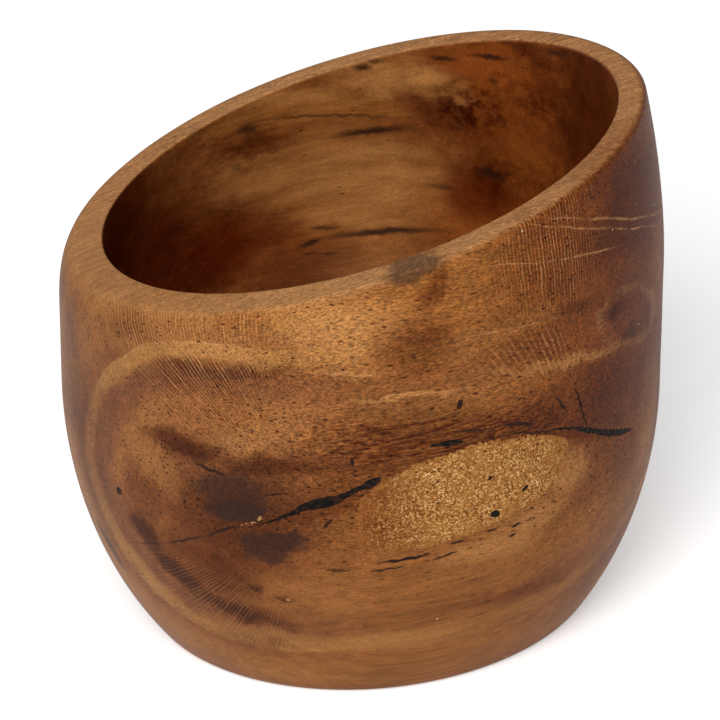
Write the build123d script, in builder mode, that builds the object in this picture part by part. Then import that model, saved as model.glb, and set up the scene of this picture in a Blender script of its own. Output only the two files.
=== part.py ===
from build123d import *
import os
from math import asin, cos, degrees, radians, sin, sqrt, tan

os.makedirs("parts", exist_ok=True)

# A turned hardwood egg cup with a slanted mouth. Lengths in millimetres, angles in degrees.
# The origin is the centre of the foot, +Z is up and +X points to the high side of the mouth.

# Hollow for the egg: a half round bowl under a wall that draws in slightly to the mouth
BOWL_RADIUS = 25.7
NECK_DRAW = 0.7
FLOOR_THICKNESS = 8.0

# Outside of the turned body, measured along and square to the turning axis
WALL_THICKNESS = 4.3
BELLY_HEIGHT = 24.2
FOOT_RADIUS = 22.3
SHOULDER_HEIGHT = 33.0
SHOULDER_RADIUS = 112.0
FOOT_ROUND = 0.5

# The turning axis leans towards the high side, because the foot is cut a little out of square
AXIS_LEAN = 4.24

# The mouth is one flat slanted cut, given where it crosses the turning axis
MOUTH_HEIGHT = 47.1
MOUTH_TILT = 12.4
RIM_ROUND = 1.8

# Voids in the wood, cleaned out to one depth at the belly and filled flush with the outside
FILL_DEPTH = 2.2

# Granular patch on the front, placed by the angle from the front and the height of its middle
PATCH_ANGLE = 20.5
PATCH_HEIGHT = 24.7
PATCH_HALF_LENGTH = 11.5
PATCH_HALF_WIDTH = 6.1

# Dark cracks that run out of the ends of the patch, and one along its upper edge
SEAM_OVERLAP = 1.0
LEFT_SEAM_LENGTH = 15.0
LEFT_SEAM_WIDTH = 1.1
LEFT_SEAM_SLOPE = 20.0
RIGHT_SEAM_LENGTH = 14.0
RIGHT_SEAM_WIDTH = 1.3
RIGHT_SEAM_SLOPE = -19.0
BRANCH_START = 3.2
BRANCH_LENGTH = 5.0
BRANCH_WIDTH = 0.7
BRANCH_SLOPE = 112.0
UPPER_SEAM_LENGTH = 4.2
UPPER_SEAM_WIDTH = 0.8
UPPER_SEAM_SHIFT = 2.6

# Dark chips in the patch and dead knots in the wall
FLECK_DEPTH = 1.0
FLECK_RADIUS = 0.5
KNOT_RADIUS = 0.7
LEFT_KNOT_ANGLE = -52.0
LEFT_KNOT_HEIGHT = 20.1
MIDDLE_KNOT_ANGLE = -1.6
MIDDLE_KNOT_HEIGHT = 30.2
UPPER_KNOT_ANGLE = 18.0
UPPER_KNOT_HEIGHT = 34.9

belly_radius = BOWL_RADIUS + WALL_THICKNESS
neck_radius = BOWL_RADIUS - NECK_DRAW
bowl_top = FLOOR_THICKNESS + BOWL_RADIUS

lean = radians(AXIS_LEAN)
axis_dir = Vector(sin(lean), 0, cos(lean))
across_dir = Vector(cos(lean), 0, -sin(lean))
front_dir = Vector(0, -1, 0)
turning_axis = Axis((0, 0, 0), axis_dir)
lathe_plane = Plane(origin=(0, 0, 0), x_dir=across_dir, z_dir=front_dir)

tilt = radians(MOUTH_TILT)
mouth_dir = Vector(-sin(tilt), 0, cos(tilt))
mouth_plane = Plane(origin=axis_dir * MOUTH_HEIGHT, x_dir=(cos(tilt), 0, sin(tilt)), z_dir=mouth_dir)

# The blank runs past the slanted cuts at both ends
high_lip = MOUTH_HEIGHT + belly_radius * tan(tilt + lean)
blank_top = high_lip + 2 * RIM_ROUND
blank_bottom = -belly_radius * tan(lean) - 2 * FOOT_ROUND

# The curve under the belly is one arc, upright at the belly and through the edge of the foot
foot_step = belly_radius - FOOT_RADIUS
lower_radius = (foot_step**2 + BELLY_HEIGHT**2) / (2 * foot_step)


def wall_radius(height):
    """Radius of the outside at a height on the turning axis."""
    if height < BELLY_HEIGHT:
        return belly_radius - lower_radius + sqrt(lower_radius**2 - (BELLY_HEIGHT - height) ** 2)
    if height < SHOULDER_HEIGHT:
        return belly_radius
    return belly_radius - SHOULDER_RADIUS + sqrt(SHOULDER_RADIUS**2 - (height - SHOULDER_HEIGHT) ** 2)


def wall_plane(angle, height, slope=0):
    """Plane that touches the outside at an angle from the front and a height, turned by a slope."""
    turn = radians(angle)
    outward = across_dir * sin(turn) + front_dir * cos(turn)
    sideways = across_dir * cos(turn) - front_dir * sin(turn)
    along = sideways * cos(radians(slope)) + axis_dir * sin(radians(slope))
    return Plane(origin=axis_dir * height + outward * wall_radius(height), x_dir=along, z_dir=outward)


def beside_patch(across, up):
    """Angle and height of the place that lies a distance across and up from the patch's middle."""
    return PATCH_ANGLE + degrees(asin(across / belly_radius)), PATCH_HEIGHT + up


def seam_outline(length, width, start=0, slope=0):
    """Crack shape from a start on the sketch's x axis, pointed at both ends, for the open line block."""
    c = cos(radians(slope))
    s = sin(radians(slope))
    low = [(0, 0), (0.3 * length, -width / 4), (0.6 * length, -width / 2), (length, 0)]
    high = [(length, 0), (0.7 * length, width / 4), (0.3 * length, width / 2), (0, 0)]
    Spline(*[(start + x * c - y * s, x * s + y * c) for x, y in low])
    Spline(*[(start + x * c - y * s, x * s + y * c) for x, y in high])


# The solid cup before any void is filled
with BuildPart() as cup_form:
    with BuildSketch(lathe_plane):
        with BuildLine():
            bottom_radius = wall_radius(blank_bottom)
            top_radius = wall_radius(blank_top)
            TangentArc((belly_radius, BELLY_HEIGHT), (bottom_radius, blank_bottom), tangent=(0, -1))
            Line((belly_radius, BELLY_HEIGHT), (belly_radius, SHOULDER_HEIGHT))
            TangentArc((belly_radius, SHOULDER_HEIGHT), (top_radius, blank_top), tangent=(0, 1))
            Polyline((top_radius, blank_top), (0, blank_top), (0, blank_bottom), (bottom_radius, blank_bottom))
        make_face()
    revolve(axis=turning_axis)
    split(bisect_by=Plane.XY, keep=Keep.TOP)
    split(bisect_by=mouth_plane, keep=Keep.BOTTOM)
    foot_face = cup_form.faces().sort_by(Axis.Z)[0]
    fillet(foot_face.outer_wire().edges(), FOOT_ROUND)
    with BuildSketch(lathe_plane):
        with BuildLine():
            CenterArc((0, bowl_top), BOWL_RADIUS, -90, 90)
            Polyline(
                (BOWL_RADIUS, bowl_top), (neck_radius, blank_top), (0, blank_top), (0, FLOOR_THICKNESS)
            )
        make_face()
    revolve(axis=turning_axis, mode=Mode.SUBTRACT)
    mouth_face = cup_form.faces().filter_by(Axis((0, 0, 0), mouth_dir))[0]
    rim_wall = wall_radius(high_lip) - neck_radius
    fillet(mouth_face.outer_wire().edges(), min(RIM_ROUND, 0.7 * rim_wall))

# What stays under the filled layer, and under the chips in the patch
with BuildPart() as fill_core:
    with BuildSketch(Plane(origin=axis_dir * blank_bottom, x_dir=across_dir, z_dir=axis_dir)):
        Circle(belly_radius - FILL_DEPTH)
    extrude(amount=blank_top - blank_bottom)
with BuildPart() as fleck_core:
    with BuildSketch(Plane(origin=axis_dir * blank_bottom, x_dir=across_dir, z_dir=axis_dir)):
        Circle(belly_radius - FLECK_DEPTH)
    extrude(amount=blank_top - blank_bottom)

# Dark chips, kept inside the patch
patch_plane = wall_plane(PATCH_ANGLE, PATCH_HEIGHT)
with BuildPart() as bark_flecks:
    with BuildSketch(patch_plane.offset(-FILL_DEPTH)):
        for across, up, size in ((0.22, -0.38, 1.0), (0.52, -0.05, 0.8), (0.15, 0.26, 0.7)):
            with Locations((across * PATCH_HALF_LENGTH, up * PATCH_HALF_WIDTH)):
                Circle(FLECK_RADIUS * size)
    extrude(amount=2 * FILL_DEPTH)
    add(cup_form.part, mode=Mode.INTERSECT)
    add(fleck_core.part, mode=Mode.SUBTRACT)

# Granular patch, flush with the outside
with BuildPart() as sawdust_fill:
    half = PATCH_HALF_LENGTH
    side = PATCH_HALF_WIDTH
    with BuildSketch(patch_plane.offset(-half)):
        with BuildLine():
            Spline(
                (-0.97 * half, -0.70 * side),
                (-0.35 * half, -0.97 * side),
                (0.27 * half, -0.72 * side),
                (0.85 * half, -0.13 * side),
                (0.91 * half, 0.66 * side),
                (0.25 * half, 0.97 * side),
                (-0.37 * half, 0.84 * side),
                (-0.89 * half, 0.25 * side),
                periodic=True,
            )
        make_face()
    extrude(amount=2 * half)
    add(cup_form.part, mode=Mode.INTERSECT)
    add(fill_core.part, mode=Mode.SUBTRACT)
    add(bark_flecks.part, mode=Mode.SUBTRACT)

# Crack that runs out of the patch's left end and falls away
left_root_angle, left_root_height = beside_patch(SEAM_OVERLAP - 0.89 * half, 0.25 * side)
with BuildPart() as left_seam:
    left_plane = wall_plane(left_root_angle, left_root_height, LEFT_SEAM_SLOPE)
    with BuildSketch(left_plane.offset(-LEFT_SEAM_LENGTH / 2)):
        with BuildLine():
            seam_outline(LEFT_SEAM_LENGTH, LEFT_SEAM_WIDTH, slope=180)
        make_face()
    extrude(amount=LEFT_SEAM_LENGTH)
    add(cup_form.part, mode=Mode.INTERSECT)
    add(fill_core.part, mode=Mode.SUBTRACT)
    add(sawdust_fill.part, mode=Mode.SUBTRACT)

# Crack that runs out of the patch's right end, with a branch that rises from it
right_root_angle, right_root_height = beside_patch(0.91 * half - SEAM_OVERLAP, 0.66 * side)
with BuildPart() as right_seam:
    right_plane = wall_plane(right_root_angle, right_root_height, RIGHT_SEAM_SLOPE)
    with BuildSketch(right_plane.offset(-RIGHT_SEAM_LENGTH / 2)):
        with BuildLine():
            seam_outline(RIGHT_SEAM_LENGTH, RIGHT_SEAM_WIDTH)
        make_face()
        with BuildLine():
            seam_outline(BRANCH_LENGTH, BRANCH_WIDTH, start=BRANCH_START, slope=BRANCH_SLOPE)
        make_face()
    extrude(amount=RIGHT_SEAM_LENGTH)
    add(cup_form.part, mode=Mode.INTERSECT)
    add(fill_core.part, mode=Mode.SUBTRACT)
    add(sawdust_fill.part, mode=Mode.SUBTRACT)

# Short crack just above the patch's upper edge
upper_angle, upper_height = beside_patch(-UPPER_SEAM_SHIFT - UPPER_SEAM_LENGTH / 2, side + UPPER_SEAM_WIDTH / 2)
with BuildPart() as upper_seam:
    with BuildSketch(wall_plane(upper_angle, upper_height).offset(-FILL_DEPTH)):
        with BuildLine():
            seam_outline(UPPER_SEAM_LENGTH, UPPER_SEAM_WIDTH)
        make_face()
    extrude(amount=2 * FILL_DEPTH)
    add(cup_form.part, mode=Mode.INTERSECT)
    add(fill_core.part, mode=Mode.SUBTRACT)

# Dead knots, as round plugs in the wall
knot_places = (
    (LEFT_KNOT_ANGLE, LEFT_KNOT_HEIGHT),
    (MIDDLE_KNOT_ANGLE, MIDDLE_KNOT_HEIGHT),
    (UPPER_KNOT_ANGLE, UPPER_KNOT_HEIGHT),
)
with BuildPart() as pin_knots:
    for knot_angle, knot_height in knot_places:
        with BuildSketch(wall_plane(knot_angle, knot_height).offset(-FILL_DEPTH)):
            Circle(KNOT_RADIUS)
        extrude(amount=2 * FILL_DEPTH)
    add(cup_form.part, mode=Mode.INTERSECT)
    add(fill_core.part, mode=Mode.SUBTRACT)

# The cup, with a pocket for each fill
with BuildPart() as turned_cup:
    add(cup_form.part)
    for fill in (sawdust_fill, bark_flecks, left_seam, right_seam, upper_seam, pin_knots):
        add(fill.part, mode=Mode.SUBTRACT)

turned_cup.part.label = "turned_cup"
export_step(turned_cup.part, "parts/turned_cup.step")
sawdust_fill.part.label = "sawdust_fill"
export_step(sawdust_fill.part, "parts/sawdust_fill.step")
left_seam.part.label = "left_seam"
export_step(left_seam.part, "parts/left_seam.step")
right_seam.part.label = "right_seam"
export_step(right_seam.part, "parts/right_seam.step")
upper_seam.part.label = "upper_seam"
export_step(upper_seam.part, "parts/upper_seam.step")
bark_flecks.part.label = "bark_flecks"
export_step(bark_flecks.part, "parts/bark_flecks.step")
pin_knots.part.label = "pin_knots"
export_step(pin_knots.part, "parts/pin_knots.step")
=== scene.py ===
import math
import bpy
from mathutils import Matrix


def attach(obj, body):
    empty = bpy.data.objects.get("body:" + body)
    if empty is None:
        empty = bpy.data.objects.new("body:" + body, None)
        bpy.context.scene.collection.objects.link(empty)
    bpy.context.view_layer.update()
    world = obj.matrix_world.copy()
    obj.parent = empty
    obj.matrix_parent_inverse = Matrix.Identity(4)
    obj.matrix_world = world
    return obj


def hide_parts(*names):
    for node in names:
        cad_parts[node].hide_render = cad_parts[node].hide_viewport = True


bl_info = {
    "name": "Turned egg cup",
    "version": (1, 0, 0),
    "blender": (4, 5, 0),
    "location": "View3D > Sidebar > Egg cup",
    "description": "Builds a turned hardwood egg cup with a slanted mouth and a filled void, and its stage",
    "category": "Object",
}

from types import SimpleNamespace

import bmesh
import bpy
from bpy.props import FloatProperty, FloatVectorProperty, IntProperty, PointerProperty
from mathutils import Matrix, Vector

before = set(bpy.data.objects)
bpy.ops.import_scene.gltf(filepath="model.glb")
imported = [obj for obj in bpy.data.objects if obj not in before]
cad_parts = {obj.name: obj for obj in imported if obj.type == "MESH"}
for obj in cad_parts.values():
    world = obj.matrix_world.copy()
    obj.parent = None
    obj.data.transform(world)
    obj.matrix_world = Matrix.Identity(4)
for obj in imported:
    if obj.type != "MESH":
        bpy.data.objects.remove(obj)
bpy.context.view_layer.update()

MM = 0.001
PER_METRE = 1000.0


def linear(code):
    """Linear red, green, blue and alpha of an sRGB hex colour."""
    parts = [int(code[i : i + 2], 16) / 255 for i in (1, 3, 5)]
    return tuple(c / 12.92 if c <= 0.04045 else ((c + 0.055) / 1.055) ** 2.4 for c in parts) + (1.0,)


def adder(tree):
    """A function that adds nodes to a tree."""

    def add(kind, *values, **settings):
        """Add a node, its operation named after its kind. Values go to its inputs in order, or by name."""
        kind, _, operation = kind.partition(" ")
        node = tree.nodes.new(kind if "Node" in kind else "ShaderNode" + kind)
        if operation:
            node.operation = operation
        for key, value in settings.items():
            if key == "stops":
                ramp = node.color_ramp.elements
                while len(ramp) < len(value):
                    ramp.new(1.0)
                for stop, (place, colour) in zip(ramp, value):
                    stop.position = place
                    stop.color = linear(colour)
            elif key == "line":
                line = node.mapping.curves[0].points
                for x, y in value[1:-1]:
                    line.new(x, y)
                line[0].location = value[0]
                line[len(line) - 1].location = value[-1]
                node.mapping.update()
            else:
                setattr(node, key, value)
        named = len(values) == 1 and isinstance(values[0], dict)
        sockets = node.inputs if named else [socket for socket in node.inputs if socket.enabled]
        for key, value in values[0].items() if named else enumerate(values):
            for one in value if isinstance(value, list) else [value]:
                if isinstance(one, bpy.types.Node):
                    one = next(output for output in one.outputs if output.enabled)
                if isinstance(one, bpy.types.NodeSocket):
                    tree.links.new(one, sockets[key])
                else:
                    sockets[key].default_value = one
        return node

    return add


def faded(add, mask, *fades):
    """A mask held back by others."""
    for fade in fades:
        mask = add("Math MULTIPLY", mask, fade)
    return mask


def layered(add, colour, layers):
    """A colour under layers, each with its mask, its blend and its own colour."""
    for mask, blend, tint in layers:
        tint = linear(tint) if isinstance(tint, str) else tint
        colour = add("Mix", mask, colour, tint, data_type="RGBA", blend_type=blend)
    return colour


def new_tree(name, inputs, outputs):
    """An empty geometry tree with named sockets, the function that adds to it, and its inputs."""
    tree = bpy.data.node_groups.new(name, "GeometryNodeTree")
    for way, sockets in (("INPUT", inputs), ("OUTPUT", outputs)):
        for label, kind in sockets.items():
            tree.interface.new_socket(label, in_out=way, socket_type="NodeSocket" + kind)
    add = adder(tree)
    return tree, add, add("NodeGroupInput").outputs


def end_tree(add, mesh, material):
    """End a geometry tree with a real mesh in its material."""
    real = add("GeometryNodeRealizeInstances", mesh)
    dressed = add("GeometryNodeSetMaterial", {"Geometry": real, "Material": material})
    add("NodeGroupOutput", dressed)


class CupSizes(bpy.types.PropertyGroup):
    """Sizes of the turned cup, along and square to its turning axis"""

    belly_radius: FloatProperty(
        name="Belly radius", description="Widest outside radius", default=30.0 * MM, unit="LENGTH"
    )
    belly_height: FloatProperty(
        name="Belly height", description="Height of the widest place", default=24.2 * MM, unit="LENGTH"
    )
    lower_curve: FloatProperty(
        name="Lower curve", description="Half height of the lower curve", default=36.2 * MM, unit="LENGTH"
    )
    shoulder_height: FloatProperty(
        name="Shoulder height", description="Where the wall draws in", default=36.0 * MM, unit="LENGTH"
    )
    shoulder_radius: FloatProperty(
        name="Shoulder radius", description="Curve above the belly", default=84.0 * MM, unit="LENGTH"
    )
    foot_radius: FloatProperty(
        name="Foot radius", description="Radius of the flat foot", default=22.3 * MM, unit="LENGTH"
    )
    foot_round: FloatProperty(
        name="Foot round", description="Rounding of the foot's edge", default=0.6 * MM, unit="LENGTH"
    )
    axis_lean: FloatProperty(
        name="Axis lean", description="Lean of the turning axis", default=math.radians(4.24), subtype="ANGLE"
    )
    mouth_height: FloatProperty(
        name="Mouth height", description="Where the mouth crosses the axis", default=47.1 * MM, unit="LENGTH"
    )
    mouth_tilt: FloatProperty(
        name="Mouth tilt", description="Slant against the foot", default=math.radians(12.42), subtype="ANGLE"
    )
    rim_round: FloatProperty(
        name="Rim round", description="Rounding of the outer rim", default=0.8 * MM, unit="LENGTH"
    )
    back_rim_round: FloatProperty(
        name="Back rim round", description="Rounding of the outer rim behind", default=1.9 * MM, unit="LENGTH"
    )
    soft_rim_drop: FloatProperty(
        name="Soft rim drop", description="Height of the low side's round", default=5.0 * MM, unit="LENGTH"
    )
    soft_rim_inset: FloatProperty(
        name="Soft rim inset", description="Width of the low side's round", default=1.9 * MM, unit="LENGTH"
    )
    lip_round: FloatProperty(
        name="Lip round", description="Rounding of the inner lip", default=0.35 * MM, unit="LENGTH"
    )
    bowl_radius: FloatProperty(
        name="Bowl radius", description="Radius of the hollow", default=25.7 * MM, unit="LENGTH"
    )
    neck_slope: FloatProperty(
        name="Neck slope", description="How the hollow draws in per height", default=0.031
    )
    floor_thickness: FloatProperty(
        name="Floor thickness", description="Wood under the hollow", default=8.0 * MM, unit="LENGTH"
    )
    groove_depth: FloatProperty(
        name="Groove depth", description="Sunken line over filled cracks", default=0.14 * MM, unit="LENGTH"
    )
    groove_width: FloatProperty(
        name="Groove width", description="Half width of that line", default=0.9 * MM, unit="LENGTH"
    )
    unevenness: FloatProperty(
        name="Unevenness", description="Hand sanding of the wall", default=0.08 * MM, unit="LENGTH"
    )
    around: IntProperty(name="Points around", description="Points round the cup", default=361)


class CupColours(bpy.types.PropertyGroup):
    """Colours that a user would change"""

    filler: FloatVectorProperty(
        name="Filler", description="Pressed sawdust", size=4, subtype="COLOR", default=linear("#a8733a")
    )
    seam: FloatVectorProperty(
        name="Seam", description="Dark crack filler", size=4, subtype="COLOR", default=linear("#0f0d0c")
    )
    floor: FloatVectorProperty(
        name="Floor", description="Paper floor", size=4, subtype="COLOR", default=linear("#fcfcfc")
    )


# Filled cracks on the wall: angle from the front in degrees and height in mm of their left and right ends,
# and the angle in radians over which an end fades, to each side
CRACKS = {"left": (-27.0, 20.4, 5.0, 27.8), "right": (35.0, 30.0, 65.0, 24.2)}
CRACK_FADE = 0.05


def wall_tree():
    """Outside radius at a height and an angle: an elliptical lower curve, a shoulder and crack grooves."""
    size = bpy.context.scene.cup_sizes
    tree, add, given = new_tree("Wall radius", {"Height": "Float", "Angle": "Float"}, {"Radius": "Float"})
    height, angle = given[:2]
    below = add("Math SUBTRACT", size.belly_height, height)
    below = add("Math MAXIMUM", below, 0.0)
    below = add("Math DIVIDE", below, size.lower_curve)
    below = add("Math POWER", below, 2.0)
    below = add("Math SUBTRACT", 1.0, below)
    below = add("Math SQRT", below)
    above = add("Math SUBTRACT", height, size.shoulder_height)
    above = add("Math MAXIMUM", above, 0.0)
    above = add("Math POWER", above, 2.0)
    above = add("Math SUBTRACT", size.shoulder_radius**2, above)
    above = add("Math SQRT", above)
    radius = add("Math MULTIPLY_ADD", below, size.belly_radius, above)
    radius = add("Math SUBTRACT", radius, size.shoulder_radius)
    for start, low, end, high in CRACKS.values():
        start, end = math.radians(start), math.radians(end)
        line = add("MapRange", angle, start, end, low * MM, high * MM)
        off = add("Math ABSOLUTE", add("Math SUBTRACT", height, line))
        groove = (off, 0.0, size.groove_width, size.groove_depth, 0.0)
        depth = add("MapRange", *groove, interpolation_type="SMOOTHSTEP")
        for tip, inward in ((start, CRACK_FADE), (end, -CRACK_FADE)):
            depth = faded(add, depth, add("MapRange", angle, tip - inward, tip + inward))
        radius = add("Math SUBTRACT", radius, depth)
    side = add("Math SINE", angle)
    front = add("Math COSINE", angle)
    rise = add("Math MULTIPLY", height, 40.0)
    spot = add("CombineXYZ", side, front, rise)
    uneven = add("TexNoise", {"Vector": spot, "Scale": 1.6, "Detail": 1.0})
    uneven = add("MapRange", uneven, 0.3, 0.7, -size.unevenness, 0.0)
    add("NodeGroupOutput", add("Math ADD", radius, uneven))
    return tree


def place_tree():
    """A point at a radius, angle and height about the leaning turning axis."""
    size = bpy.context.scene.cup_sizes
    inputs = dict.fromkeys(("Radius", "Angle", "Height"), "Float")
    tree, add, given = new_tree("Point about the axis", inputs, {"Position": "Vector"})
    radius, angle, height = given[:3]
    x = add("Math MULTIPLY", radius, add("Math SINE", angle))
    back = add("Math MULTIPLY", radius, -1.0)
    y = add("Math MULTIPLY", back, add("Math COSINE", angle))
    lean = {"Vector": add("CombineXYZ", x, y, height), "Angle": size.axis_lean}
    add("NodeGroupOutput", add("VectorRotate", lean, rotation_type="Y_AXIS"))
    return tree


# Rows of points along the cup's half section, from the middle of the foot to the bottom of the hollow
ROWS = {"foot": 10, "heel": 6, "wall": 124, "rim": 14, "mouth": 12, "lip": 6, "neck": 36, "bowl": 40}
# Corners of the half section that its straight stretches, of two, and its rounds, of three, run between
BENDS = {
    "heel": ("foot end", "heel", "wall start"),
    "rim": ("wall end", "rim", "mouth start"),
    "mouth": ("mouth start", "mouth end"),
    "lip": ("mouth end", "lip", "neck start"),
    "neck": ("neck start", "neck end"),
}
# How much closer together the points lie on the front
FRONT_CROWDING = 0.4
# Points nearer to each other than this are one point
WELD = 0.002 * MM


def cup_corners(add, angle, wall):
    """Corners of the cup's half section at an angle, each with its radius and height."""
    size = bpy.context.scene.cup_sizes
    side = add("Math SINE", angle)
    tilt = add("Math MULTIPLY", side, math.tan(size.mouth_tilt + size.axis_lean))
    bowl_top = size.floor_thickness + size.bowl_radius
    neck_start = size.bowl_radius + size.neck_slope * bowl_top

    # The outer rim edge, found by a few steps along the slanted mouth
    rim = add("Math MULTIPLY_ADD", tilt, size.belly_radius, size.mouth_height)
    for _ in range(3):
        edge = add("GeometryNodeGroup", rim, angle, node_tree=wall)
        rim = add("Math MULTIPLY_ADD", tilt, edge, size.mouth_height)
    soft = add("MapRange", side, -0.45, -0.95, interpolation_type="SMOOTHSTEP")
    ends = (add("Math COSINE", angle), 0.2, -0.7, size.rim_round, size.back_rim_round)
    behind = add("MapRange", *ends, interpolation_type="SMOOTHSTEP")
    wall_end = add("Math SUBTRACT", rim, add("Mix", soft, behind, size.soft_rim_drop))
    mouth_start = add("Math SUBTRACT", edge, add("Mix", soft, behind, size.soft_rim_inset))

    # The inner lip, found in the same way on the drawn-in hollow
    lip = add("Math MULTIPLY_ADD", tilt, size.bowl_radius, size.mouth_height)
    for _ in range(2):
        hollow = add("Math MULTIPLY_ADD", lip, -size.neck_slope, neck_start)
        lip = add("Math MULTIPLY_ADD", tilt, hollow, size.mouth_height)
    mouth_end = add("Math ADD", hollow, size.lip_round)
    lip_end = add("Math SUBTRACT", lip, size.lip_round)

    # The foot's edge
    foot_tilt = add("Math MULTIPLY", side, math.tan(size.axis_lean))
    heel = add("Math MULTIPLY", foot_tilt, size.foot_radius)
    heel_radius = add("GeometryNodeGroup", heel, angle, node_tree=wall)
    heel = add("Math MULTIPLY", foot_tilt, heel_radius)
    foot_end = add("Math SUBTRACT", heel_radius, size.foot_round)
    wall_start = add("Math ADD", heel, size.foot_round)
    return {
        "foot end": (foot_end, add("Math MULTIPLY", foot_tilt, foot_end)),
        "heel": (heel_radius, heel),
        "wall start": (add("GeometryNodeGroup", wall_start, angle, node_tree=wall), wall_start),
        "wall end": (add("GeometryNodeGroup", wall_end, angle, node_tree=wall), wall_end),
        "rim": (edge, rim),
        "mouth start": (mouth_start, add("Math MULTIPLY_ADD", tilt, mouth_start, size.mouth_height)),
        "mouth end": (mouth_end, add("Math MULTIPLY_ADD", tilt, mouth_end, size.mouth_height)),
        "lip": (hollow, lip),
        "neck start": (add("Math MULTIPLY_ADD", lip_end, -size.neck_slope, neck_start), lip_end),
        "neck end": (size.bowl_radius, bowl_top),
    }


def cup_tree(wall, place, wood):
    """The whole cup as one grid, bent round the turning axis and cut by the slanted foot and mouth."""
    tree, add, given = new_tree("Turned cup", {"Points around": "Int"}, {"Mesh": "Geometry"})
    total = sum(ROWS.values())
    sheet = {"Size X": 1.0, "Size Y": total, "Vertices X": given[0], "Vertices Y": total + 1}
    grid = add("GeometryNodeMeshGrid", sheet)
    spot = add("SeparateXYZ", add("GeometryNodeInputPosition")).outputs
    row = add("Math ADD", spot[1], total / 2)
    turn = add("Math MULTIPLY", spot[0], math.tau)
    angle = add("Math MULTIPLY_ADD", add("Math SINE", turn), -FRONT_CROWDING, turn)
    corners = cup_corners(add, angle, wall)
    corner = {name: add("CombineXYZ", out, 0.0, up) for name, (out, up) in corners.items()}

    # How far each point is along its stretch of the section, and whether it is past the stretch's start
    share, past, at = {}, {}, 0
    for name, count in ROWS.items():
        share[name] = add("MapRange", row, float(at), float(at + count))
        past[name] = add("Math GREATER_THAN", row, at + 0.01)
        at += count
    height = add("Mix", share["wall"], corners["wall start"][1], corners["wall end"][1])
    radius = add("GeometryNodeGroup", height, angle, node_tree=wall)
    bowl_radius, bowl_top = corners["neck end"]
    bend = add("Math MULTIPLY", share["bowl"], math.pi / 2)
    out = add("Math MULTIPLY", add("Math COSINE", bend), bowl_radius)
    down = add("Math MULTIPLY_ADD", add("Math SINE", bend), -bowl_radius, bowl_top)
    stretch = {
        "foot": add("VectorMath SCALE", corner["foot end"], share["foot"]),
        "wall": add("CombineXYZ", radius, 0.0, height),
        "bowl": add("CombineXYZ", out, 0.0, down),
    }
    for name, ends in BENDS.items():
        points = [corner[end] for end in ends]
        while len(points) > 1:
            pairs = zip(points, points[1:])
            points = [add("Mix", share[name], *pair, data_type="VECTOR") for pair in pairs]
        stretch[name] = points[0]
    section = stretch["foot"]
    for name in list(ROWS)[1:]:
        section = add("Mix", past[name], section, stretch[name], data_type="VECTOR")
    half = add("SeparateXYZ", section).outputs
    point = add("GeometryNodeGroup", half[0], angle, half[2], node_tree=place)

    # Sanded rim face, kept for the wood's finish: rougher, and paler partly as sanded wood and partly as
    # painted light from above
    rise = add("MapRange", share["rim"], 0.3, 0.8)
    fall = add("MapRange", share["lip"], 0.3, 0.9, 1.0, 0.0)
    kept = {"Geometry": grid, "Name": "sanded_rim", "Value": faded(add, rise, fall)}
    marked = add("GeometryNodeStoreNamedAttribute", kept)
    bent = add("GeometryNodeSetPosition", {"Geometry": marked, "Position": point})
    closed = add("GeometryNodeMergeByDistance", {"Geometry": bent, "Distance": WELD})
    smooth = add("GeometryNodeSetShadeSmooth", {"Geometry": closed})
    end_tree(add, smooth, wood)
    return tree


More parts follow.
